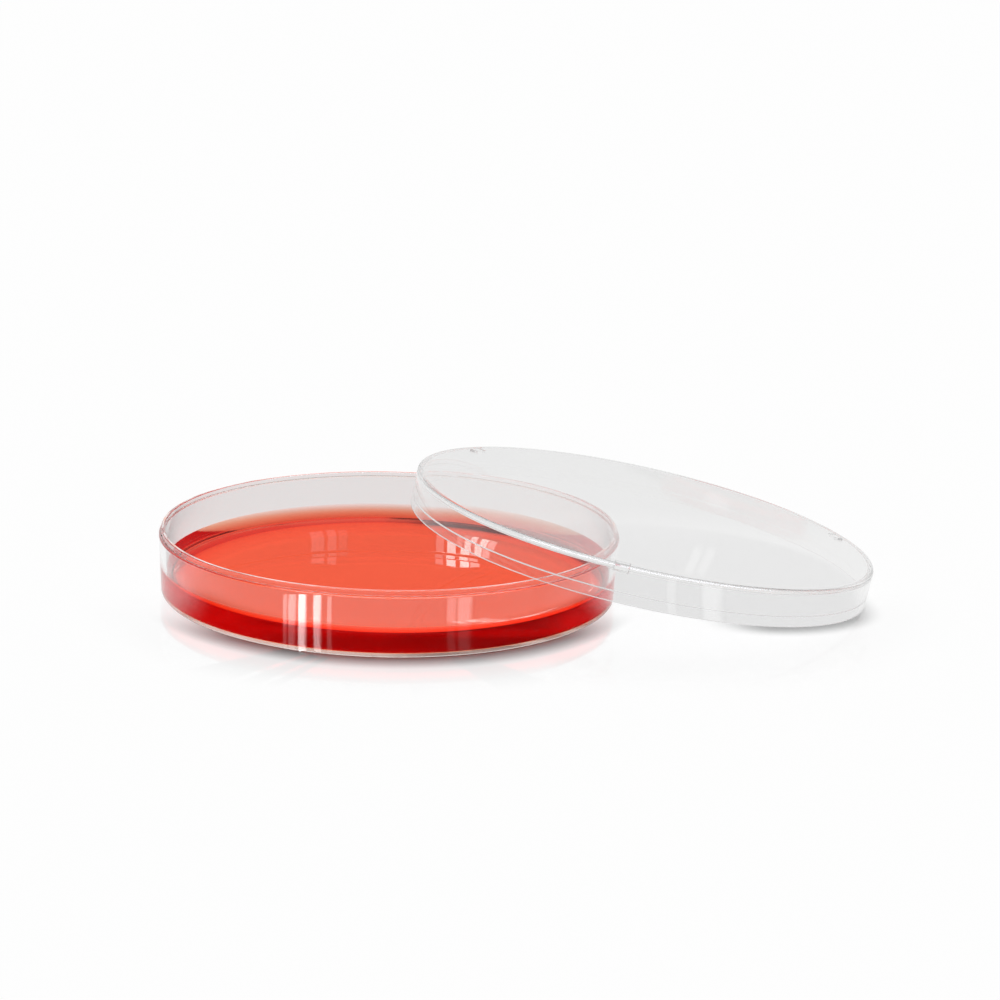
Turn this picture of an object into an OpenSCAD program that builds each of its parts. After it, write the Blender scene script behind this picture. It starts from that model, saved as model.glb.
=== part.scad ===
// Petri dish with a poured culture medium, and its vented lid leaning on the lip.
// The origin is the centre of the dish's underside, +Z is up and the lid leans towards +X.

/* [Dish] */
// Outer diameter of the dish at its ledge
dish_d = 87.5; // [60:0.5:140]
// Height from the table to the top of the lip
dish_h = 12.2; // [9:0.1:16]
// Thickness of the dish's wall
dish_wall = 1.1; // [0.9:0.05:2]
// Thickness of the dish's floor
dish_floor = 0.6; // [0.5:0.05:1.5]
// Slope of the wall, which widens towards the lip, in degrees
dish_draft = 2; // [0:0.25:3]
// Height of the lip above the ledge
lip_h = 0.95; // [0.5:0.05:2]
// Width of the ledge outside the lip
ledge_w = 0.45; // [0.2:0.05:0.6]
// Radius of the corner between the underside and the wall
foot_round = 0.4; // [0.1:0.05:0.45]
// Radius of the hollow corner between the floor and the wall
floor_round = 0.3; // [0.2:0.1:1]

/* [Medium] */
// Depth of the medium away from the wall
medium_depth = 2.4; // [1.2:0.1:4]
// Height that the medium climbs up the wall
meniscus_rise = 2.4; // [0.2:0.1:3]
// Distance from the wall at which the climb has fallen to about a third
meniscus_reach = 2.2; // [0.5:0.1:4]

/* [Lid] */
// Height of the lid from the edge of its skirt to its top
lid_h = 7; // [6:0.1:9]
// Thickness of the lid's top
lid_top = 1; // [0.7:0.05:1.5]
// Thickness of the lid's skirt
lid_wall = 1; // [0.8:0.05:1.6]
// Radius of the lid's top edge
lid_round = 0.6; // [0.2:0.05:0.7]
// Gap all round between the closed lid and the dish
lid_gap = 0.25; // [0.1:0.05:1]
// Height of the thinner band along the edge of the skirt
band_h = 1.9; // [1:0.1:3]
// How much thinner that band is than the skirt
band_cut = 0.3; // [0.1:0.05:0.5]

/* [Vents] */
// Number of vent lugs that hold the closed lid off the lip
vent_count = 3; // [3:1:6]
// Length of a vent lug along the skirt
vent_len = 2.6; // [2:0.1:10]
// Height of a vent lug under the lid's top
vent_drop = 0.5; // [0.3:0.05:1]
// Reach of a vent lug from the skirt towards the centre
vent_reach = 1.8; // [1:0.1:4]
// Angle of the first vent lug from the lid's lowest point, in degrees
vent_turn = 14; // [0:1:119]

/* [Lean] */
// How far past its centre the lid is propped up, as a share of its radius
lean_share = 0.56; // [0.45:0.01:0.7]
// Gap between the edge of the leaning lid and the lip
lean_gap = 0.1; // [0.05:0.05:0.5]

/* [Hidden] */
$fn = 128;

// Straight steps in a rounded corner, and in the curve of the meniscus
corner_steps = 6;
meniscus_steps = 14;

// Dish: the ledge is its widest circle, and both faces of the wall slope by the draft
dish_r = dish_d / 2;
ledge_z = dish_h - lip_h;
lip_r = dish_r - ledge_w;
bore_r = dish_r - dish_wall;
function outer_r(z) = dish_r - (ledge_z - z) * tan(dish_draft);
function inner_r(z) = bore_r - (dish_h - z) * tan(dish_draft);

// Medium: its surface is level in the middle, and it meets the wall at the contact line
level_z = dish_floor + medium_depth;
contact_z = level_z + meniscus_rise;
contact_r = inner_r(contact_z);
meniscus_span = 6 * meniscus_reach;

// Lid: its skirt goes over the dish with the gap to spare
skirt_r = dish_r + lid_gap;
lid_r = skirt_r + lid_wall;
band_r = skirt_r + band_cut;
under_z = lid_h - lid_top;
vent_angle = vent_len / skirt_r * 180 / PI;
// Depth to which a lug runs into the top and the skirt
vent_root = 0.2;

// Lean: the skirt's edge stands on the table at +X, and crosses the lip along a chord
prop = lean_share * lid_r;
tilt = asin((dish_h + lean_gap) / (lid_r + prop));
half_chord = sqrt(band_r * band_r - prop * prop);
chord_x = sqrt(lip_r * lip_r - half_chord * half_chord) + lean_gap;
lid_x = chord_x + prop * cos(tilt);
lid_z = lid_r * sin(tilt);

// Points of an arc about a centre, from one angle to another
function arc(centre, radius, from, to) = [
    for (i = [0 : corner_steps])
        let (a = from + (to - from) * i / corner_steps)
            centre + radius * [cos(a), sin(a)]
];

// Radius at which the centre of a corner arc lies, so that the arc ends on a sloping wall
function corner_r(wall_r, radius) = wall_r - radius / cos(dish_draft);

// Corner where the floor runs up into the wall, from the floor outwards
function floor_corner() =
    let (z = dish_floor + floor_round)
        arc([corner_r(inner_r(z), floor_round), z], floor_round, -90, -dish_draft);

// Corner where the underside turns up into the wall, from the underside outwards
function foot_corner() =
    arc([corner_r(outer_r(foot_round), foot_round), foot_round], foot_round, -90, -dish_draft);

// Surface of the medium, from the contact line to the level part
function meniscus() = [
    for (i = [0 : meniscus_steps])
        let (d = meniscus_span * pow(i / meniscus_steps, 2))
            [contact_r - d, level_z + meniscus_rise * exp(-d / meniscus_reach)]
];

// Last point first
function reversed(points) = [for (i = [len(points) - 1 : -1 : 0]) points[i]];

// Clear base: floor, sloping wall, and the lip standing on the ledge
module dish() {
    color([0.88, 0.91, 0.93, 0.4])
        rotate_extrude()
            polygon(concat(
                [[0, 0]],
                foot_corner(),
                [
                    [dish_r, ledge_z],
                    [lip_r, ledge_z],
                    [lip_r, dish_h],
                    [bore_r, dish_h]
                ],
                reversed(floor_corner()),
                [[0, dish_floor]]
            ));
}

// Poured medium: it fills the floor's corner and climbs the wall
module medium() {
    color([0.84, 0.16, 0.08, 0.9])
        rotate_extrude()
            polygon(concat(
                [[0, dish_floor]],
                floor_corner(),
                meniscus(),
                [[0, level_z]]
            ));
}

// Lug in the corner under the lid's top, centred on the +X direction
module vent_lug() {
    rotate([0, 0, -vent_angle / 2])
        rotate_extrude(angle = vent_angle)
            translate([skirt_r - vent_reach, under_z - vent_drop])
                square([vent_reach + vent_root, vent_drop + vent_root]);
}

// Lid standing level on its skirt, with the skirt's edge at z = 0
module level_lid() {
    rotate_extrude()
        polygon(concat(
            [
                [0, under_z],
                [skirt_r, under_z],
                [skirt_r, band_h],
                [band_r, band_h],
                [band_r, 0],
                [lid_r, 0]
            ],
            arc([lid_r - lid_round, lid_h - lid_round], lid_round, 0, 90),
            [[0, lid_h]]
        ));
    for (i = [0 : vent_count - 1])
        rotate([0, 0, vent_turn + i * 360 / vent_count])
            vent_lug();
}

// Clear lid, tilted so that it stands on the table and leans on the lip
module lid() {
    color([0.9, 0.91, 0.94, 0.4])
        translate([lid_x, 0, lid_z])
            rotate([0, tilt, 0])
                level_lid();
}

dish();
medium();
lid();
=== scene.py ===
"""Looks of the petri dish: a clear dish with a poured red medium, and its vented lid leaning on the lip."""

import logging
import math
from dataclasses import dataclass
from enum import Enum

import bpy
import numpy as np
from mathutils import Matrix, Vector


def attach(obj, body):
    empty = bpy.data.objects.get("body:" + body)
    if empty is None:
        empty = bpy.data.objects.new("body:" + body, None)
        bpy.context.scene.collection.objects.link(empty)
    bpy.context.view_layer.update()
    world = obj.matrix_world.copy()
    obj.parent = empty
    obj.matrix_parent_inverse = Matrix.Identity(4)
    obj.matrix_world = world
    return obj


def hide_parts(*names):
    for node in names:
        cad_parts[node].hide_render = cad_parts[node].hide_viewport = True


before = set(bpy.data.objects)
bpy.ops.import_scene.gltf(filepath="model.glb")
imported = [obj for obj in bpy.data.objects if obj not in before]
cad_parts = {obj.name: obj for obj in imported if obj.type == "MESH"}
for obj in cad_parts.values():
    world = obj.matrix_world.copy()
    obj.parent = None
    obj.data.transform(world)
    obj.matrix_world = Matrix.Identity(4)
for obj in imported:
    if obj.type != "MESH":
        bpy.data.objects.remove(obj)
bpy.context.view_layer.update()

MM = 0.001
LOG = logging.getLogger("petri_dish")
Colour = tuple[float, float, float]
Point = tuple[float, float, float]
Span = tuple[float, float]
WHITE: Colour = (1.0, 1.0, 1.0)
# Half the way between two whole numbers, by which counts are told apart
HALF_STEP = 0.5


class Body(Enum):
    """The two bodies that pieces ride on."""

    DISH = "dish"
    LID = "lid"


class Slot(Enum):
    """Material slots of the part."""

    PLASTIC = "clear_plastic"
    MEDIUM = "red_medium"


class Ray(Enum):
    """What a shader can ask about the ray that looks at it."""

    CAMERA = "Is Camera Ray"
    GLOSSY = "Is Glossy Ray"
    THROUGH = "Is Transmission Ray"
    TIMES_MIRRORED = "Glossy Depth"
    TIMES_THROUGH = "Transmission Depth"
    TIMES_CLEAR = "Transparent Depth"


class Seen(Enum):
    """Kinds of ray that a card of the studio shows itself to."""

    MIRROR = "visible_glossy"
    GLASS = "visible_transmission"

    def show(self, piece: bpy.types.Object) -> None:
        """Hides a piece from every other kind of ray."""
        for flag in RAY_FLAGS:
            setattr(piece, flag, flag == self.value)


RAY_FLAGS = (
    "visible_camera",
    "visible_diffuse",
    "visible_glossy",
    "visible_transmission",
    "visible_volume_scatter",
    "visible_shadow",
)


class Wire:
    """Output of a node, on which the usual operators add Math nodes."""

    def __init__(self, sheet: "NodeSheet", socket: bpy.types.NodeSocket | None) -> None:
        """Keeps the socket and the sheet that it is on."""
        self.sheet = sheet
        self.socket = socket

    def math(self, operation: str, *values: "Wire | float") -> "Wire":
        """Adds one Math node.

        Args:
            operation: name of the operation.
            values: what goes into the node's sockets, in order.

        Returns:
            The node's output.
        """
        return self.sheet.node("ShaderNodeMath", {"operation": operation}, dict(enumerate(values)))

    def __add__(self, other: "Wire | float") -> "Wire":
        """self + other"""
        return self.math("ADD", self, other)

    def __radd__(self, other: float) -> "Wire":
        """other + self"""
        return self.math("ADD", other, self)

    def __sub__(self, other: "Wire | float") -> "Wire":
        """self - other"""
        return self.math("SUBTRACT", self, other)

    def __rsub__(self, other: float) -> "Wire":
        """other - self"""
        return self.math("SUBTRACT", other, self)

    def __mul__(self, other: "Wire | float") -> "Wire":
        """self * other"""
        return self.math("MULTIPLY", self, other)

    def __rmul__(self, other: float) -> "Wire":
        """other * self"""
        return self.math("MULTIPLY", other, self)

    def __abs__(self) -> "Wire":
        """abs(self)"""
        return self.math("ABSOLUTE", self)

    def root(self) -> "Wire":
        """Square root."""
        return self.math("SQRT", self)

    def maximum(self, other: "Wire | float") -> "Wire":
        """The larger of the two."""
        return self.math("MAXIMUM", self, other)

    def equals(self, count: int) -> "Wire":
        """1 where a whole number is the count, and 0 elsewhere."""
        return self.math("COMPARE", self, count, HALF_STEP)

    def at_least(self, count: int) -> "Wire":
        """1 where a whole number is the count or more, and 0 elsewhere."""
        return self.math("GREATER_THAN", self, count - HALF_STEP)

    def between(self, start: "Wire | float", end: "Wire | float") -> "Wire":
        """Value that goes from start, where this is 0, to end, where this is 1."""
        return self * (end - start) + start

    def fade(self, start: float, end: float) -> "Wire":
        """Makes a smooth step.

        Args:
            start: value that gives 0.
            end: value that gives 1, which may lie below the start.

        Returns:
            The step, which stays at 0 and at 1 outside the two.
        """
        return self.sheet.node(
            "ShaderNodeMapRange",
            {"interpolation_type": "SMOOTHSTEP"},
            {"Value": self, "From Min": start, "From Max": end},
        )

    def plateau(self, soft: float) -> "Wire":
        """1 from 0 to 1, apart from a smooth rise and fall over a soft share at either end."""
        return self.fade(0.0, soft) * self.fade(1.0, 1.0 - soft)


class NodeSheet:
    """Node tree of one material or of the world."""

    def __init__(self, tree: bpy.types.NodeTree) -> None:
        """Takes over a tree and empties it."""
        self.tree = tree
        tree.nodes.clear()

    def node(
        self,
        kind: str,
        settings: dict[str, object] | None = None,
        sockets: dict[str | int, object] | None = None,
        out: str | int = 0,
    ) -> Wire:
        """Adds a node.

        Args:
            kind: type name of the node.
            settings: properties of the node, set first.
            sockets: values or wires for the inputs, by identifier, name or number.
            out: the output to give back, by identifier, name or number.

        Returns:
            That output, or an empty wire where the node has none.
        """
        made = self.tree.nodes.new(kind)
        for key, value in (settings or {}).items():
            setattr(made, key, value)
        for key, value in (sockets or {}).items():
            socket = self.pick(made.inputs, key)
            if isinstance(value, Wire):
                self.tree.links.new(value.socket, socket)
            elif isinstance(value, tuple) and len(value) == 3 and socket.type == "RGBA":
                socket.default_value = (*value, 1.0)
            else:
                socket.default_value = value
        return Wire(self, self.pick(made.outputs, out) if len(made.outputs) else None)

    @staticmethod
    def pick(sockets: bpy.types.bpy_prop_collection, key: str | int) -> bpy.types.NodeSocket:
        """Finds a socket.

        Args:
            sockets: a node's inputs or outputs.
            key: identifier, name or number.

        Returns:
            The socket.
        """
        if isinstance(key, int):
            return sockets[key]
        named = [s for s in sockets if s.identifier == key] or [s for s in sockets if s.name == key]
        return named[0]

    def mix(self, share: Wire | float, first: Wire | Colour, second: Wire | Colour) -> Wire:
        """Blends two colours.

        Args:
            share: 0 gives the first colour and 1 the second.
            first: a colour.
            second: another colour.

        Returns:
            The blended colour.
        """
        return self.node(
            "ShaderNodeMix",
            {"data_type": "RGBA"},
            {"Factor_Float": share, "A_Color": first, "B_Color": second},
            "Result_Color",
        )

    def either(self, share: Wire, first: Wire, second: Wire) -> Wire:
        """Blends two shaders.

        Args:
            share: 0 gives the first shader and 1 the second.
            first: a shader.
            second: another shader.

        Returns:
            The blended shader.
        """
        return self.node("ShaderNodeMixShader", None, {0: share, 1: first, 2: second})

    def glow(self, colour: Colour, strength: float) -> Wire:
        """Shader of an even glow."""
        return self.node("ShaderNodeEmission", None, {"Color": colour, "Strength": strength})

    def clear(self) -> Wire:
        """Shader that isn't there."""
        return self.node("ShaderNodeBsdfTransparent", None, {"Color": WHITE})

    def noise(self, place: Wire, scale: float, detail: float) -> Wire:
        """Cloudy noise from 0 to 1.

        Args:
            place: coordinates to read it at.
            scale: features per metre.
            detail: finer octaves.

        Returns:
            The noise value.
        """
        sockets = {"Vector": place, "Scale": scale, "Detail": detail}
        return self.node("ShaderNodeTexNoise", None, sockets, "Fac")

    def place(self, stretch: float = 1.0) -> Wire:
        """Object coordinates, times a number."""
        here = self.spot("Object")
        return self.node("ShaderNodeMapping", None, {"Vector": here, "Scale": (stretch, stretch, stretch)})

    def spot(self, kind: str) -> Wire:
        """Coordinates of one of the built in kinds."""
        return self.node("ShaderNodeTexCoord", None, None, kind)

    def distance(self, place: Wire, point: Point) -> Wire:
        """How far a place is from a point."""
        return self.node("ShaderNodeVectorMath", {"operation": "DISTANCE"}, {0: place, 1: point}, "Value")

    def axes(self, place: Wire, names: str) -> tuple[Wire, ...]:
        """The named axes of a vector, such as XY."""
        return tuple(self.node("ShaderNodeSeparateXYZ", None, {0: place}, name) for name in names)

    def ray(self, kind: Ray) -> Wire:
        """What the ray that looks at the surface is like."""
        return self.node("ShaderNodeLightPath", None, None, kind.value)

    def output(self, surface: Wire, volume: Wire | None = None, kind: str = "Material") -> None:
        """Ends the tree with its output node."""
        sockets = {"Surface": surface} | ({"Volume": volume} if volume else {})
        self.node(f"ShaderNodeOutput{kind}", None, sockets)


def new_material(name: str) -> tuple[bpy.types.Material, NodeSheet]:
    """Makes an empty node material.

    Args:
        name: its name.

    Returns:
        The material and its node sheet.
    """
    made = bpy.data.materials.new(name)
    made.use_nodes = True
    return made, NodeSheet(made.node_tree)


@dataclass(frozen=True)
class ClearFinish:
    """Clear glossy finish. A cloudy noise changes its tint and bends its surface, and a finer one dulls it.

    Noise scales are features per metre, and the depth of the bends is in metres.
    """

    name: str
    ior: float
    tint: Colour
    tint_cloud: Colour
    rough: float
    rough_haze: float
    bend: float
    cloud_scale: float
    cloud_detail: float
    haze_scale: float
    haze_detail: float
    haze_fade: Span
    bend_share: float = 0.3

    def inside(self, sheet: NodeSheet) -> Wire | None:
        """What fills the piece: nothing."""
        return None

    def material(self) -> bpy.types.Material:
        """Builds the finish.

        Returns:
            The material.
        """
        made, sheet = new_material(self.name)
        cloud = sheet.noise(sheet.place(), self.cloud_scale, self.cloud_detail)
        haze = sheet.noise(sheet.place(), self.haze_scale, self.haze_detail).fade(*self.haze_fade)
        bump = sheet.node(
            "ShaderNodeBump",
            None,
            {"Strength": self.bend_share, "Distance": self.bend, "Height": cloud},
        )
        surface = sheet.node(
            "ShaderNodeBsdfPrincipled",
            None,
            {
                "Base Color": sheet.mix(cloud, self.tint, self.tint_cloud),
                "Roughness": haze.between(self.rough, self.rough_haze),
                "IOR": self.ior,
                "Transmission Weight": 1.0,
                "Normal": bump,
            },
        )
        sheet.output(surface, self.inside(sheet))
        return made


@dataclass(frozen=True)
class ClearPlastic(ClearFinish):
    """Injection moulded clear polystyrene: nearly colourless, with faint flow marks and handling haze."""

    name: str = "clear_polystyrene"
    ior: float = 1.59
    tint: Colour = (0.985, 0.985, 0.98)
    tint_cloud: Colour = (0.965, 0.965, 0.965)
    rough: float = 0.004
    rough_haze: float = 0.02
    bend: float = 0.00002
    cloud_scale: float = 45.0
    cloud_detail: float = 1.0
    haze_scale: float = 320.0
    haze_detail: float = 3.0
    haze_fade: Span = (0.5, 0.75)


@dataclass(frozen=True)
class RedMedium(ClearFinish):
    """Red agar gel: clear, wet, and deeper in colour the longer the way through it.

    What is passed is the colour of the light that gets through, and the density is per metre.
    """

    name: str = "red_agar_medium"
    ior: float = 1.34
    tint: Colour = (0.995, 0.985, 0.98)
    tint_cloud: Colour = (0.985, 0.93, 0.91)
    rough: float = 0.004
    rough_haze: float = 0.02
    bend: float = 0.00003
    cloud_scale: float = 60.0
    cloud_detail: float = 3.0
    haze_scale: float = 240.0
    haze_detail: float = 2.0
    haze_fade: Span = (0.45, 0.75)
    passed: Colour = (0.994, 0.2, 0.0)
    density: float = 500.0

    def inside(self, sheet: NodeSheet) -> Wire:
        """What fills the piece: a colour that takes up the light's green and blue."""
        return sheet.node("ShaderNodeVolumeAbsorption", None, {"Color": self.passed, "Density": self.density})


def smooth(share: np.ndarray) -> np.ndarray:
    """Smooth step 3 s^2 - 2 s^3 of a share s, held between 0 and 1."""
    held = np.clip(share, 0.0, 1.0)
    return held**2 * (3 - 2 * held)


def full_turn(steps: int) -> np.ndarray:
    """Even angles once round, in radians."""
    return np.arange(steps) * (2 * math.pi / steps)


def rounded(corners: np.ndarray, radii: np.ndarray, hold: float = 0.03, steps: int = 8) -> np.ndarray:
    """Rounds the corners of a line.

    A corner P with half opening angle h gets an arc between the points A and B, which lie radius / tan(h)
    along its two sides. The arc is the rational curve of A, P and B with the weights 1, sin(h) and 1.
    One more point on each side, a hold away from the arc, keeps the flats flat under smooth shading.

    Args:
        corners: points in order, one row each; the first and last stay as they are.
        radii: corner radius of each inner point.
        hold: distance of the extra points from the arc.
        steps: straight steps in an arc.

    Returns:
        The points of the rounded line, one row each.
    """
    middle = corners[1:-1]
    back = corners[:-2] - middle
    ahead = corners[2:] - middle
    back = back / np.linalg.norm(back, axis=1, keepdims=True)
    ahead = ahead / np.linalg.norm(ahead, axis=1, keepdims=True)
    half = 0.5 * np.arccos(np.clip(np.sum(back * ahead, axis=1), -1.0, 1.0))
    trim = (radii / np.tan(half))[:, None]
    weight = np.sin(half)[:, None, None]
    share = np.linspace(0.0, 1.0, steps + 1)[None, :, None]
    first = (middle + trim * back)[:, None, :]
    last = (middle + trim * ahead)[:, None, :]
    parts = ((1 - share) ** 2, 2 * weight * share * (1 - share), share**2)
    arcs = (parts[0] * first + parts[1] * middle[:, None, :] + parts[2] * last) / sum(parts)
    before = (middle + (trim + hold) * back)[:, None, :]
    after = (middle + (trim + hold) * ahead)[:, None, :]
    inner = np.concatenate([before, arcs, after], axis=1).reshape(-1, 2)
    return np.vstack([corners[:1], inner, corners[-1:]])


def around(meridian: np.ndarray, angles: np.ndarray) -> np.ndarray:
    """Carries a meridian round the Z axis: x = r cos a, y = r sin a, z = z.

    Args:
        meridian: radius and height of each point.
        angles: angles in radians.

    Returns:
        A grid of points by angles by 3.
    """
    radius, height = meridian[:, :1], meridian[:, 1:]
    level = np.broadcast_to(height, (len(radius), len(angles)))
    return np.stack([radius * np.cos(angles), radius * np.sin(angles), level], axis=-1)


def revolved(rings: np.ndarray) -> tuple[np.ndarray, list[list[int]]]:
    """Closed surface of rings around the Z axis.

    Ring i and step j hold the point at grid place (i, j). The first and last rings lie on the axis and
    shrink to one vertex each, and the last step joins the first, so there is no seam and no open pole.

    Args:
        rings: points on a grid of rings by steps by 3.

    Returns:
        The vertices, and the faces as lists of vertex numbers that point outwards.
    """
    count, steps = rings.shape[0] - 2, rings.shape[1]
    points = np.vstack([rings[:1, 0], rings[1:-1].reshape(-1, 3), rings[-1:, 0]])
    grid = 1 + np.arange(count * steps).reshape(count, steps)
    turned = np.roll(grid, -1, axis=1)
    quads = np.stack([grid[:-1], turned[:-1], turned[1:], grid[1:]], axis=-1).reshape(-1, 4)
    low = np.stack([np.zeros(steps, int), turned[0], grid[0]], axis=-1)
    high = np.stack([np.full(steps, len(points) - 1), grid[-1], turned[-1]], axis=-1)
    return points, quads.tolist() + low.tolist() + high.tolist()


def new_piece(
    name: str,
    points: np.ndarray,
    faces: list[list[int]],
    finish: bpy.types.Material,
) -> bpy.types.Object:
    """Makes a smooth shaded object from points in millimetres.

    Args:
        name: name of the object.
        points: vertices, one row each.
        faces: lists of vertex numbers.
        finish: its material.

    Returns:
        The object, at the origin and linked to the scene.
    """
    mesh = bpy.data.meshes.new(name)
    mesh.from_pydata((points * MM).tolist(), [], faces)
    mesh.polygons.foreach_set("use_smooth", np.ones(len(faces), bool))
    mesh.materials.append(finish)
    mesh.update()
    made = bpy.data.objects.new(name, mesh)
    bpy.context.scene.collection.objects.link(made)
    return made


def join(piece: bpy.types.Object, body: Body, node: str) -> bpy.types.Object:
    """Puts a piece on its body in place of its CAD node.

    Args:
        piece: the new piece.
        body: the body that carries it.
        node: the CAD node that it stands for.

    Returns:
        The piece.
    """
    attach(piece, body.value)
    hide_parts(node)
    LOG.info("piece %s on %s: %d faces", piece.name, body.value, len(piece.data.polygons))
    return piece


def set_stage(piece: bpy.types.Object, seen: Seen, corners: np.ndarray | None = None) -> bpy.types.Object:
    """Shows a piece to one kind of ray only, and gives it a UV map where it needs one.

    Args:
        piece: the piece.
        seen: the rays that it shows itself to.
        corners: place of each face corner on a UV map, where it needs one.

    Returns:
        The piece.
    """
    if corners is not None:
        piece.data.uv_layers.new(name="flat").data.foreach_set("uv", corners.ravel())
    seen.show(piece)
    return piece


@dataclass
class Dish:
    """Clear dish: floor, sloping wall, and a thin lip on a ledge. Sizes in millimetres and degrees."""

    diameter: float = 87.5
    height: float = 12.2
    wall: float = 1.1
    floor: float = 0.6
    draft: float = 2.0
    lip_height: float = 0.95
    ledge: float = 0.45
    foot_round: float = 0.4
    floor_round: float = 0.3
    ledge_round: float = 0.42
    corner_round: float = 0.08
    lip_round: float = 0.16
    steps: int = 720

    @property
    def slope(self) -> float:
        """How far the wall moves outwards for each millimetre of height."""
        return math.tan(math.radians(self.draft))

    @property
    def ledge_height(self) -> float:
        """Height of the ledge."""
        return self.height - self.lip_height

    @property
    def lip(self) -> float:
        """Outer radius of the lip."""
        return self.diameter / 2 - self.ledge

    def outer(self, height: float) -> float:
        """Outer radius of the wall at a height."""
        return self.diameter / 2 - (self.ledge_height - height) * self.slope

    def inner(self, height: float) -> float:
        """Inner radius of the wall at a height."""
        return self.diameter / 2 - self.wall - (self.height - height) * self.slope

    def meridian(self) -> np.ndarray:
        """Half section of the dish.

        Returns:
            Radius and height of its points, from the middle of the underside round to that of the floor.
        """
        corners = np.array([
            (0.0, 0.0),
            (self.outer(0.0), 0.0),
            (self.outer(self.ledge_height), self.ledge_height),
            (self.lip, self.ledge_height),
            (self.lip, self.height),
            (self.inner(self.height), self.height),
            (self.inner(self.floor), self.floor),
            (0.0, self.floor),
        ])
        radii = np.array([
            self.foot_round,
            self.ledge_round,
            self.corner_round,
            self.lip_round,
            self.lip_round,
            self.floor_round,
        ])
        return rounded(corners, radii)

    def build(self, finish: bpy.types.Material) -> bpy.types.Object:
        """Turns the half section round the axis.

        Args:
            finish: the clear plastic.

        Returns:
            The dish, on its body.
        """
        points, faces = revolved(around(self.meridian(), full_turn(self.steps)))
        return join(new_piece("dish_shell", points, faces, finish), Body.DISH, "dish")


@dataclass
class Medium:
    """Poured medium that fills the dish's floor and climbs its wall. Sizes in millimetres.

    The span is the width of the climbing part, in reaches. The sink is how far the medium runs into the
    plastic, so that no film of air is left between the two, and the contact sizes have to fit in it.
    """

    dish: Dish
    depth: float = 2.4
    rise: float = 2.4
    reach: float = 2.2
    span: float = 7.0
    rings: int = 48
    sink: float = 0.003
    contact_round: float = 0.0009
    contact_hold: float = 0.0006
    steps: int = 720

    @property
    def level(self) -> float:
        """Height of the flat surface."""
        return self.dish.floor + self.depth

    def surface(self) -> np.ndarray:
        """Upper side of the half section.

        At a distance d from the wall, it stands rise * exp(-d / reach) above the level.

        Returns:
            Radius and height of its points, from the wall to the middle.
        """
        distance = self.span * self.reach * np.linspace(0.0, 1.0, self.rings) ** 2
        climb = self.level + self.rise * np.exp(-distance / self.reach)
        wall = self.dish.inner(self.level + self.rise)
        return np.vstack([np.column_stack([wall - distance, climb]), [(0.0, self.level)]])

    def meridian(self) -> np.ndarray:
        """Half section of the medium.

        Returns:
            Radius and height of its points, from the middle of the bottom round to the middle of the surface.
        """
        contact = self.level + self.rise
        wall = self.dish.inner(contact)
        below = self.dish.floor - self.sink
        corners = np.array([
            (0.0, below),
            (self.dish.inner(self.dish.floor) + self.sink, below),
            (wall + self.sink, contact),
            (wall, contact),
        ])
        radii = np.array([self.dish.floor_round + self.sink, self.contact_round])
        side = rounded(corners, radii, self.contact_hold)[:-1]
        return np.vstack([side, self.surface()])

    def build(self, finish: bpy.types.Material) -> bpy.types.Object:
        """Turns the half section round the axis.

        Args:
            finish: the red medium.

        Returns:
            The medium, on the dish's body.
        """
        points, faces = revolved(around(self.meridian(), full_turn(self.steps)))
        return join(new_piece("red_medium_pour", points, faces, finish), Body.DISH, "medium")


# Places of the extra rings at a lug's inner edge and of the extra steps at its ends, in widths of its slope
LUG_RINGS = np.array([-3.0, -1.3, -1.0, -0.75, -0.5, -0.25, 0.0, 0.3])
LUG_STEPS = np.array([-0.3, 0.0, 0.25, 0.5, 0.75, 1.0, 1.3])
# Digits of a radian to which two steps count as one
STEP_DIGITS = 6


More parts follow.
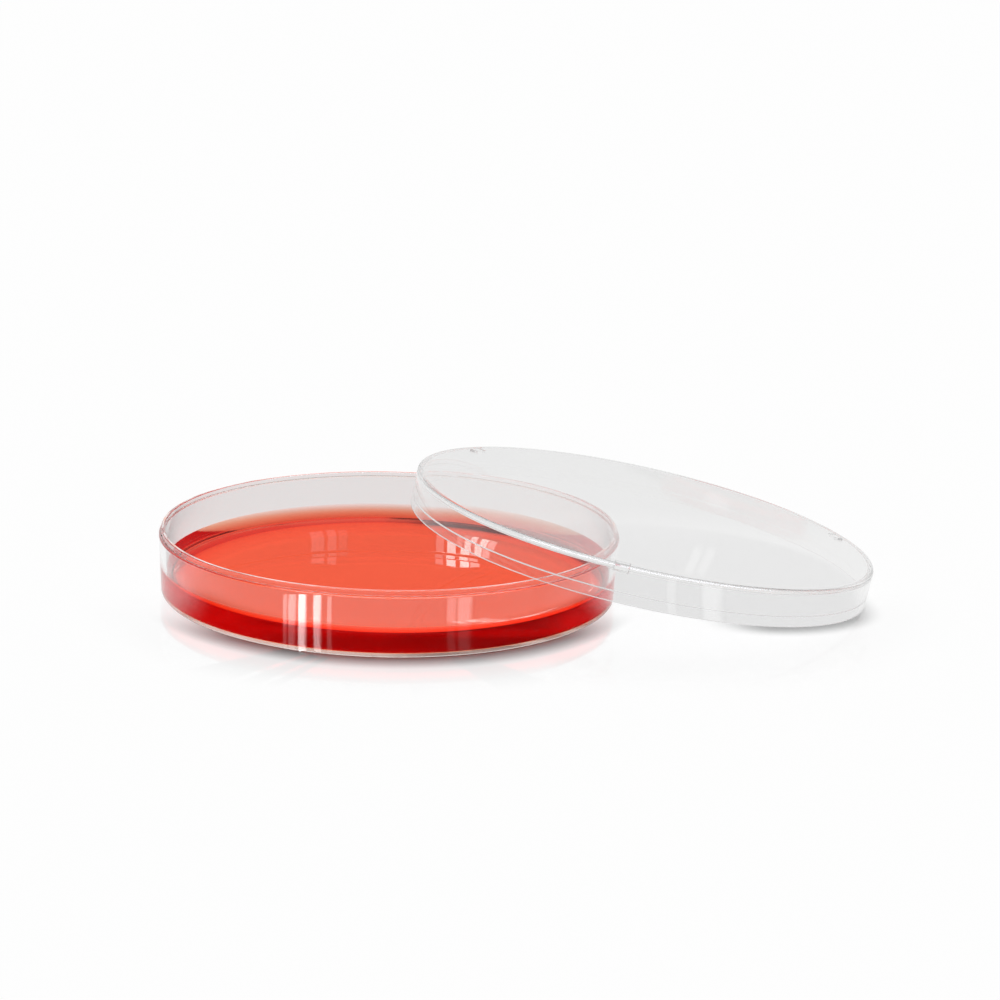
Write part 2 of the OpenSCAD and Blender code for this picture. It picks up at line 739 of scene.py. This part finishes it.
@dataclass
class Lid:
    """Clear lid with a stepped skirt and vent lugs, leaning on the lip. Sizes in millimetres and degrees.

    The vent edge is the width of the slope along a lug, and the vent corner is how far the rings that make
    the lugs reach down the skirt. A ring may lie a slack past the skirt and still count as one of them.
    """

    dish: Dish
    height: float = 7.0
    top: float = 1.0
    wall: float = 1.0
    top_round: float = 0.6
    gap: float = 0.25
    band: float = 1.9
    band_cut: float = 0.3
    edge_round: float = 0.12
    corner_round: float = 0.24
    hold: float = 0.02
    vent_count: int = 3
    vent_length: float = 2.6
    vent_drop: float = 0.5
    vent_reach: float = 1.8
    vent_turn: float = 14.0
    vent_edge: float = 0.12
    vent_corner: float = 0.4
    vent_slack: float = 0.01
    lean_share: float = 0.56
    lean_gap: float = 0.1
    steps: int = 720

    @property
    def skirt(self) -> float:
        """Inner radius of the skirt."""
        return self.dish.diameter / 2 + self.gap

    @property
    def radius(self) -> float:
        """Outer radius of the lid."""
        return self.skirt + self.wall

    @property
    def under(self) -> float:
        """Height of the underside of the top above the edge of the skirt."""
        return self.height - self.top

    def lean(self) -> tuple[float, float, float]:
        """Place of the leaning lid, whose skirt stands on the table and crosses the lip along a chord.

        Returns:
            Tilt in radians, and the X and Z of the middle of the skirt's edge.
        """
        prop = self.lean_share * self.radius
        tilt = math.asin((self.dish.height + self.lean_gap) / (self.radius + prop))
        half_chord = math.sqrt((self.skirt + self.band_cut) ** 2 - prop**2)
        chord = math.sqrt(self.dish.lip**2 - half_chord**2) + self.lean_gap
        return tilt, chord + prop * math.cos(tilt), self.radius * math.sin(tilt)

    def meridian(self) -> tuple[np.ndarray, np.ndarray]:
        """Half section of the level lid.

        Returns:
            Radius and height of its points, from the middle of the underside round to that of the top, and
            for each point how far it follows a vent lug downwards, from 0 to 1.
        """
        lug = self.skirt - self.vent_reach
        edge = self.edge_round
        corners = np.array([
            (lug + self.vent_corner, self.under),
            (self.skirt, self.under),
            (self.skirt, self.band),
            (self.skirt + self.band_cut, self.band),
            (self.skirt + self.band_cut, 0.0),
            (self.radius, 0.0),
            (self.radius, self.height),
            (0.0, self.height),
        ])
        radii = np.array([self.corner_round, edge, edge, edge, edge, self.top_round])
        shell = rounded(corners, radii, self.hold)
        ramp = lug + self.vent_edge * LUG_RINGS
        plate = np.column_stack([np.r_[0.0, ramp], np.full(len(ramp) + 1, self.under)])
        line = np.vstack([plate, shell])
        radius, height = line.T
        in_corner = (height > self.under - self.vent_corner) & (radius < self.skirt + self.vent_slack)
        return line, smooth((radius - lug) / self.vent_edge + 1.0) * in_corner

    def angles(self) -> tuple[np.ndarray, np.ndarray]:
        """Steps round the lid, closer together at the ends of the vent lugs.

        Returns:
            The angles in radians from the lid's low side, and at each how far a lug stands out, from 0 to 1.
        """
        whole = 2 * math.pi
        middles = math.radians(self.vent_turn) + full_turn(self.vent_count)
        half = self.vent_length / self.skirt / 2
        edge = self.vent_edge / self.skirt
        close = half + edge * LUG_STEPS
        ends = (middles[:, None] + np.r_[close, -close][None, :]).ravel()
        turn = np.unique(np.round(np.r_[full_turn(self.steps), np.mod(ends, whole)], STEP_DIGITS))
        away = np.abs(np.mod(turn[:, None] - middles[None, :] + math.pi, whole) - math.pi).min(axis=1)
        return turn, smooth((half - away) / edge + 1.0)

    def build(self, finish: bpy.types.Material) -> bpy.types.Object:
        """Turns the half section round the axis, sinks the lugs, and leans the lid.

        A lug lowers the underside by vent_drop times the follow of the ring times the stand of the angle.
        The lean turns the lid about Y, by x' = x cos t + z sin t and z' = z cos t - x sin t, and moves it.

        Args:
            finish: the clear plastic.

        Returns:
            The lid, on its body.
        """
        line, follow = self.meridian()
        turn, stand = self.angles()
        rings = around(line, turn)
        rings[..., 2] -= self.vent_drop * follow[:, None] * stand[None, :]
        points, faces = revolved(rings)
        tilt, place_x, place_z = self.lean()
        lean = np.array([
            (math.cos(tilt), 0.0, math.sin(tilt)),
            (0.0, 1.0, 0.0),
            (-math.sin(tilt), 0.0, math.cos(tilt)),
        ])
        points = points @ lean.T + np.array([place_x, 0.0, place_z])
        return join(new_piece("lid_shell", points, faces, finish), Body.LID, "lid")


@dataclass(frozen=True)
class Veil:
    """Clear sheet just above the medium. Only light that the medium mirrors crosses it, and is known by that.

    The bottom and top of the sheet are millimetres above the medium.
    """

    medium: Medium
    name: str = "clear_veil"
    bottom: float = 0.04
    top: float = 0.08
    steps: int = 360

    @staticmethod
    def crossed(sheet: NodeSheet) -> Wire:
        """1 on light that has crossed the veil, and 0 on all other light."""
        return sheet.ray(Ray.TIMES_CLEAR).at_least(1)

    def build(self) -> bpy.types.Object:
        """Turns the surface of the medium, lifted a little, round the axis as a thin closed shell.

        Returns:
            The veil, shown only to mirrored light.
        """
        surface = self.medium.surface()
        path = np.vstack([surface[::-1] + (0.0, self.bottom), surface + (0.0, self.top)])
        points, faces = revolved(around(path, full_turn(self.steps)))
        finish, sheet = new_material(self.name)
        sheet.output(sheet.clear())
        return set_stage(new_piece(self.name, points, faces, finish), Seen.MIRROR)


@dataclass(frozen=True)
class Card:
    """Glowing card of the studio, upright and facing the dish. Angles in degrees, as seen from the dish.

    A veiled card shows itself only to light that the medium mirrors, and any other card only to other light.
    Its soft edges are shares of its width and height, over which it fades to the edge glow.
    """

    name: str
    azimuth: Span
    elevation: Span
    glow: float
    colour: Colour = WHITE
    distance: float = 50000.0
    seen: Seen = Seen.MIRROR
    veiled: bool = False
    soft: Span = (0.02, 0.02)
    edge: float = 0.85
    columns: int = 8

    def finish(self) -> bpy.types.Material:
        """Builds the card's finish.

        Returns:
            A glow that fades along the edges, and that the other light passes.
        """
        made, sheet = new_material(self.name)
        across, up = sheet.axes(sheet.spot("UV"), "XY")
        shape = across.plateau(self.soft[0]) * up.plateau(self.soft[1])
        light = sheet.either(shape, sheet.glow(self.colour, self.edge), sheet.glow(self.colour, self.glow))
        share = Veil.crossed(sheet) if self.veiled else 1.0 - Veil.crossed(sheet)
        sheet.output(sheet.either(share, sheet.clear(), light))
        return made

    def build(self) -> bpy.types.Object:
        """Makes the card.

        Its corners lie at the given azimuths, from +Y towards +X, and elevations, on an upright cylinder
        around the dish: x = distance sin a, y = distance cos a, z = distance tan e. The vertices come in
        pairs, the lower one first.

        Returns:
            The card, shown only to its kind of ray.
        """
        turn = np.radians(np.linspace(*self.azimuth, self.columns + 1))
        rise = np.tan(np.radians(self.elevation))
        angle, height = np.meshgrid(turn, rise, indexing="ij")
        points = self.distance * np.stack([np.sin(angle), np.cos(angle), height], axis=-1).reshape(-1, 3)
        start = np.arange(self.columns) * 2
        faces = np.stack([start, start + 1, start + 3, start + 2], axis=-1)
        column, row = np.divmod(faces.ravel(), 2)
        made = new_piece(self.name, points, faces.tolist(), self.finish())
        return set_stage(made, self.seen, np.column_stack([column / self.columns, row]))


@dataclass(frozen=True)
class Window:
    """Far window behind the dish, mirrored in the medium over the back lip and through the back wall.

    Angles in degrees, as seen from the dish.
    """

    name: str
    azimuth: Span
    top: float
    glow: float
    bottom: float = 9.0
    lip: float = 15.3
    centre: float = 4.285
    spread: float = 1.11
    soft: Span = (0.12, 0.02)
    edge: float = 0.2

    def build(self) -> None:
        """Makes one card for each of the two ways.

        The one for the way through the wall is spread about the centre, which undoes the squeeze of the
        curved wall.
        """
        wide = tuple(self.centre + self.spread * (turn - self.centre) for turn in self.azimuth)
        alike = {"veiled": True, "soft": self.soft, "edge": self.edge}
        over, through = (self.lip, self.top), (self.bottom, self.top)
        Card(f"{self.name}_over", self.azimuth, over, self.glow, **alike).build()
        Card(f"{self.name}_through", wide, through, self.glow, seen=Seen.GLASS, **alike).build()


@dataclass(frozen=True)
class Strip:
    """Glowing strip on the table in front of the object, for the bars of light in its walls. In millimetres.

    The near end is the one at the object, and the near share is how bright the strip is there. It grows to
    full brightness over the bend, which is a share of its length.
    """

    name: str
    near: tuple[Span, Span]
    far: tuple[Span, Span]
    glow: float
    near_share: float = 1.0
    bend: Span = (0.4, 0.56)
    soft: float = 0.3
    lift: float = 0.02

    def finish(self) -> bpy.types.Material:
        """Builds the strip's finish.

        Returns:
            A glow on the upper side that fades along both sides and towards the object.
        """
        made, sheet = new_material(self.name)
        across, along = sheet.axes(sheet.spot("UV"), "XY")
        shape = across.plateau(self.soft) * along.fade(*self.bend).between(self.near_share, 1.0)
        below = sheet.node("ShaderNodeNewGeometry", None, None, "Backfacing")
        sheet.output(sheet.either(shape * (1.0 - below), sheet.clear(), sheet.glow(WHITE, self.glow)))
        return made

    def build(self) -> bpy.types.Object:
        """Makes the strip as one flat face between its near and far ends, with a UV map across and along it.

        Returns:
            The strip, shown only in mirrors.
        """
        flat = np.array([*self.far, *self.near[::-1]])
        points = np.column_stack([flat, np.full(len(flat), self.lift)])
        corners = np.array([(0.0, 1.0), (1.0, 1.0), (1.0, 0.0), (0.0, 0.0)])
        return set_stage(new_piece(self.name, points, [[0, 1, 2, 3]], self.finish()), Seen.MIRROR, corners)


SOFTBOX = Card("key_softbox", (110.0, 250.0), (20.0, 62.0), 5.0, colour=(0.86, 0.87, 1.0))
WINDOWS = (
    Window("window_1", (5.8, 6.06), 16.18, 2.8),
    Window("window_2", (6.16, 6.44), 16.18, 3.2),
    Window("window_3", (6.44, 6.72), 16.18, 1.6),
    Window("window_4", (5.5, 5.74), 16.18, 0.8),
    Window("far_window_1", (2.12, 2.52), 16.25, 0.5),
    Window("far_window_2", (2.58, 2.84), 16.25, 0.5),
    Window("far_window_3", (2.87, 3.14), 16.0, 0.35),
)
LID_WINDOWS = (
    Card("lid_window_1", (16.98, 17.32), (10.1, 11.1), 1.02, soft=(0.35, 0.3)),
    Card("lid_window_2", (17.3, 17.64), (9.95, 11.0), 1.0, soft=(0.35, 0.3)),
    Card("lid_window_3", (16.6, 17.6), (8.66, 9.2), 0.97, soft=(0.4, 0.4)),
)
STRIPS = (
    Strip("bar_1", ((-20.0, -37.0), (-19.4, -37.7)), ((-44.0, -52.6), (-42.5, -54.4)), 4.5, 0.2),
    Strip("bar_2", ((-19.5, -37.6), (-18.4, -38.9)), ((-42.7, -54.2), (-39.8, -57.6)), 6.3, 0.22),
    Strip("bar_3", ((-18.4, -38.8), (-17.1, -40.2)), ((-39.9, -57.5), (-36.7, -60.5)), 16.0, 0.52),
    Strip("bar_4", ((-16.4, -40.7), (-14.9, -41.8)), ((-35.2, -61.9), (-31.7, -64.5)), 12.5, 0.4),
    Strip("bar_5", ((-14.4, -42.1), (-13.3, -42.8)), ((-30.3, -65.4), (-28.0, -66.7)), 4.2, 0.2),
    Strip("bar_6", ((8.0, -44.9), (10.4, -44.0)), ((19.0, -71.0), (24.3, -68.8)), 2.8, 0.12),
    Strip("bar_7", ((9.9, -44.2), (13.1, -42.6)), ((23.2, -69.2), (30.5, -65.2)), 3.7, 0.12),
    Strip("lid_bar_1", ((47.3, -75.4), (52.3, -71.7)), ((45.1, -103.9), (53.2, -97.9)), 1.4),
    Strip("lid_bar_2", ((59.2, -65.9), (66.4, -58.8)), ((64.0, -88.5), (74.9, -76.9)), 2.0),
)


@dataclass(frozen=True)
class Spot:
    """Where a point of the table lies, in millimetres.

    Across and behind are along X and Y, aside is along Y to either side, and the others are distances from
    the middle of the dish, from the edge of its foot, and from the middle of the lid.
    """

    across: Wire
    behind: Wire
    aside: Wire
    from_dish: Wire
    from_foot: Wire
    from_lid: Wire


@dataclass
class Table:
    """White table top, with a faint mirror in front of the object, and painted light and shade in its glow.
    Lengths in millimetres.

    A glow is how bright the table shows itself, by place and by kind of ray. A span is two places between
    which something sets in: along X for left and right, along Y for front and behind, along Y to either side
    for sides, and outwards from the dish, its foot, the lid or the circle of the shade for edge.
    """

    lid: Lid
    half: float = 12000.0
    cells: int = 2
    drop: float = 0.03
    white: Colour = (0.1, 0.1, 0.1)
    glow_seen: float = 0.97
    # Through glass: near the object, under the lid, behind, behind to the right, and under the dish
    glow_near: float = 0.9
    # Painted shade of the lid on the table, seen through glass
    glow_lid: float = 0.75
    glow_far: float = 0.8
    glow_beyond: float = 0.82
    # Painted light on the table under the dish, seen through the medium
    glow_under: float = 1.28
    lid_edge: Span = (46.0, 42.0)
    far_right: Span = (20.0, 60.0)
    far_behind: Span = (20.0, 60.0)
    under_edge: Span = (-0.5, -1.5)
    # In mirrors: in front, mirrored once or more often, and painted shade just in front of the dish
    glow_mirrored: float = 0.5
    glow_again: float = 0.1
    mirrored_behind: Span = (-40.0, 0.0)
    near_edge: Span = (16.0, 10.0)
    near_front: Span = (-10.0, -25.0)
    # Share that is lost in light that the medium mirrors
    veiled_loss: float = 0.75
    # Painted red light under the dish, and in a ring behind it that shows through at least so many faces of
    # clear pieces, in light that has been mirrored at most so many times
    painted_red_light: Colour = (1.0, 0.43, 0.17)
    red_light_mirrorings: int = 3
    ring_edge: Span = (10.0, 2.0)
    ring_behind: Span = (5.0, 20.0)
    ring_faces: int = 3
    ring_share: float = 0.7
    # Shade around the foot, where something stands over the table within the contact distance
    shade_samples: int = 8
    contact: float = 6.0
    contact_edge: Span = (62.0, 52.0)
    contact_sides: Span = (16.0, 34.0)
    # Shade within a circle under the lid's low edge, where the lid covers the table
    cover: float = 14.0
    cover_open: Span = (0.95, 0.6)
    shade_middle: Span = (71.4, 5.5)
    shade_radius: float = 21.3
    shade_edge: Span = (6.0, 0.0)
    shade_left: Span = (54.0, 70.0)
    shade_right: Span = (94.0, 85.0)
    shade_sides: Span = (2.0, 14.0)
    shade_share: float = 0.75
    # Mirror of the table itself
    mirror: float = 0.22
    mirror_rough: float = 0.05
    mirror_edge: Span = (64.0, 46.0)
    mirror_front: Span = (0.0, -20.0)

    def spot(self, sheet: NodeSheet) -> Spot:
        """Measures the place of a point.

        Args:
            sheet: the table's node sheet.

        Returns:
            The measures.
        """
        place = sheet.place(1 / MM)
        from_dish = sheet.distance(place, (0.0, 0.0, 0.0))
        from_foot = from_dish - self.lid.dish.outer(0.0)
        from_lid = sheet.distance(place, (self.lid.lean()[1], 0.0, 0.0))
        across, behind = sheet.axes(place, "XY")
        return Spot(across, behind, abs(behind), from_dish, from_foot, from_lid)

    def shade(self, sheet: NodeSheet, spot: Spot) -> Wire:
        """Shade of the object on the table, which goes when the lid is lifted off.

        Args:
            sheet: the table's node sheet.
            spot: place of the point.

        Returns:
            0 in the open and 1 in full shade.
        """
        samples = {"samples": self.shade_samples}
        touch, cover = (
            sheet.node("ShaderNodeAmbientOcclusion", samples, {"Distance": reach * MM}, "AO")
            for reach in (self.contact, self.cover)
        )
        around_foot = spot.from_dish.fade(*self.contact_edge) * spot.aside.fade(*self.contact_sides)
        out, over = spot.across - self.shade_middle[0], spot.aside - self.shade_middle[1]
        rim = (out * out + over * over).root() - self.shade_radius
        inside = spot.across.fade(*self.shade_left) * spot.across.fade(*self.shade_right)
        inside = inside * spot.aside.fade(*self.shade_sides)
        below = rim.fade(*self.shade_edge) * inside * cover.fade(*self.cover_open) * self.shade_share
        return ((1.0 - touch * touch * touch) * around_foot).maximum(below)

    def shine(self, sheet: NodeSheet, spot: Spot) -> Wire:
        """How the table glows to the eye, in mirrors and through glass.

        Args:
            sheet: the table's node sheet.
            spot: place of the point.

        Returns:
            The glow's colour.
        """
        seen, glossy, through, mirrorings, faces = (
            sheet.ray(kind)
            for kind in (Ray.CAMERA, Ray.GLOSSY, Ray.THROUGH, Ray.TIMES_MIRRORED, Ray.TIMES_THROUGH)
        )
        once = mirrorings.equals(1)
        plain = 1.0 - Veil.crossed(sheet) * self.veiled_loss
        under = spot.from_foot.fade(*self.under_edge)
        # Painted shade just in front of the dish, in mirrored light and in light seen through glass after one
        # mirroring
        near = spot.from_foot.fade(*self.near_edge) * spot.behind.fade(*self.near_front) * (1.0 - under)
        front = spot.from_lid.fade(*self.lid_edge).between(self.glow_near, self.glow_lid)
        far = spot.across.fade(*self.far_right).between(self.glow_far, self.glow_beyond)
        beside = spot.behind.fade(*self.far_behind).between(front, far)
        ahead = once.between(self.glow_again, self.glow_mirrored)
        mirrored = (glossy - glossy * through) * (1.0 - near)
        glow = (
            seen * self.glow_seen * (1.0 - self.shade(sheet, spot))
            + mirrored * plain * spot.behind.fade(*self.mirrored_behind).between(ahead, self.glow_near)
            + through * plain * (1.0 - near * once) * under.between(beside, self.glow_under)
        )
        # Painted red light on the table, under the dish and in a ring behind it, for light through the red
        # medium
        ring = spot.from_foot.fade(*self.ring_edge) * spot.behind.fade(*self.ring_behind)
        ring = ring * faces.at_least(self.ring_faces) * self.ring_share
        early = 1.0 - mirrorings.at_least(self.red_light_mirrorings + 1)
        colour = sheet.mix(under.maximum(ring) * through * early, WHITE, self.painted_red_light)
        return sheet.node("ShaderNodeVectorMath", {"operation": "SCALE"}, {0: colour, "Scale": glow})

    def finish(self) -> bpy.types.Material:
        """Builds the table's finish.

        Returns:
            Matt white that glows, and turns faintly mirrored in front of the object.
        """
        made, sheet = new_material("white_table")
        spot = self.spot(sheet)
        matt = sheet.node(
            "ShaderNodeBsdfPrincipled",
            None,
            {
                "Base Color": self.white,
                "Roughness": 1.0,
                "Specular IOR Level": 0.0,
                "Emission Color": self.shine(sheet, spot),
                "Emission Strength": 1.0,
            },
        )
        gloss = sheet.node("ShaderNodeBsdfGlossy", None, {"Color": WHITE, "Roughness": self.mirror_rough})
        close = spot.from_dish.fade(*self.mirror_edge).maximum(spot.from_lid.fade(*self.mirror_edge))
        share = close * spot.behind.fade(*self.mirror_front) * sheet.ray(Ray.CAMERA) * self.mirror
        sheet.output(sheet.either(share, matt, gloss))
        return made

    def build(self) -> bpy.types.Object:
        """Lays a flat square grid of cells just under the object.

        Vertex i * row + j lies at the grid's place (i, j), and each cell is the face of its four corners.

        Returns:
            The table.
        """
        row = self.cells + 1
        across = np.linspace(-self.half, self.half, row)
        points = np.stack(np.meshgrid(across, across, [-self.drop], indexing="ij"), axis=-1).reshape(-1, 3)
        corner = np.arange(row * row).reshape(row, row)[:-1, :-1].ravel()
        faces = np.stack([corner, corner + row, corner + row + 1, corner + 1], axis=-1).tolist()
        made = new_piece("table_top", points, faces, self.finish())
        return made


@dataclass
class Sky:
    """Light of the room by direction: pale low down, dim above, and white to the eye.

    Glass shows more light from above than mirrors do. Deep light has crossed at least so many faces of clear
    pieces. Spans are parts of a direction: its Z for horizon and ceiling, its Y for back and its X for left.
    """

    seen: float = 0.98
    low: float = 0.85
    high: float = 0.9
    high_deep: float = 0.4
    overhead: float = 0.1
    overhead_glass: float = 0.7
    overhead_deep: float = 0.9
    in_medium: float = 0.2
    deep_faces: int = 5
    horizon: Span = (0.228, 0.246)
    ceiling: Span = (0.30, 0.36)
    back: Span = (0.85, 0.92)
    left: Span = (-0.08, 0.02)

    def build(self) -> None:
        """Sets the world's light for each direction, whose length is 1."""
        world = bpy.data.worlds.new("studio_world")
        world.use_nodes = True
        sheet = NodeSheet(world.node_tree)
        across, away, rise = sheet.axes(sheet.spot("Generated"), "XYZ")
        through = sheet.ray(Ray.THROUGH)
        deep = through * sheet.ray(Ray.TIMES_THROUGH).at_least(self.deep_faces)
        top_deep = across.fade(*self.left).between(self.overhead, self.overhead_deep)
        top = deep.between(through.between(self.overhead, self.overhead_glass), top_deep)
        middle = (deep * away.fade(*self.back)).between(self.high, self.high_deep)
        above = rise.fade(*self.ceiling).between(middle, top)
        plain = rise.fade(*self.horizon).between(self.low, above)
        indoors = Veil.crossed(sheet).between(plain, self.in_medium)
        light = sheet.ray(Ray.CAMERA).between(indoors, self.seen)
        shine = sheet.node("ShaderNodeBackground", None, {"Color": light, "Strength": 1.0})
        sheet.output(shine, kind="World")
        bpy.context.scene.world = world


@dataclass
class Studio:
    """Light and camera. Lengths in millimetres, angles in degrees, and the clip in metres."""

    veil: Veil
    eye: Point = (-30.2, -405.7, 122.4)
    aim: Point = (20.69, -2.61, 17.92)
    roll: float = 1.98
    lens: float = 79.2
    sensor: float = 36.0
    clip: Span = (0.01, 100.0)
    bounces: int = 128
    softbox: Card = SOFTBOX
    windows: tuple[Window, ...] = WINDOWS
    lid_windows: tuple[Card, ...] = LID_WINDOWS
    strips: tuple[Strip, ...] = STRIPS

    def light(self) -> None:
        """Sets the light of the room, the cards and the veil."""
        Sky().build()
        for piece in (self.veil, self.softbox, *self.windows, *self.lid_windows, *self.strips):
            piece.build()

    def camera(self) -> None:
        """Puts the camera where the photograph was taken from, turned a little about its own axis."""
        data = bpy.data.cameras.new("photo_camera")
        data.sensor_width = self.sensor
        data.lens = self.lens
        data.clip_start, data.clip_end = self.clip
        made = bpy.data.objects.new("photo_camera", data)
        eye, aim = Vector(self.eye) * MM, Vector(self.aim) * MM
        back = (eye - aim).normalized()
        right = Vector((0.0, 0.0, 1.0)).cross(back).normalized()
        up = back.cross(right)
        roll = math.radians(self.roll)
        across = math.cos(roll) * right + math.sin(roll) * up
        above = math.cos(roll) * up - math.sin(roll) * right
        turn = Matrix((across, above, back)).transposed()
        made.matrix_world = Matrix.Translation(eye) @ turn.to_4x4()
        bpy.context.scene.collection.objects.link(made)
        bpy.context.scene.camera = made

    def view(self) -> None:
        """Sets plain colours, and lets light bounce often enough to cross the clear pieces."""
        scene = bpy.context.scene
        scene.view_settings.view_transform = "Standard"
        scene.cycles.max_bounces = self.bounces
        scene.cycles.transmission_bounces = self.bounces
        scene.cycles.glossy_bounces = self.bounces


def main() -> None:
    """Builds the dish, the medium, the lid and the studio."""
    logging.basicConfig(level=logging.INFO, format="%(name)s: %(message)s")
    plastic = ClearPlastic().material()
    dish = Dish()
    lid = Lid(dish)
    medium = Medium(dish)
    dish.build(plastic)
    medium.build(RedMedium().material())
    lid.build(plastic)
    Table(lid).build()
    studio = Studio(Veil(medium))
    studio.light()
    studio.camera()
    studio.view()


if __name__ == "__main__":
    main()
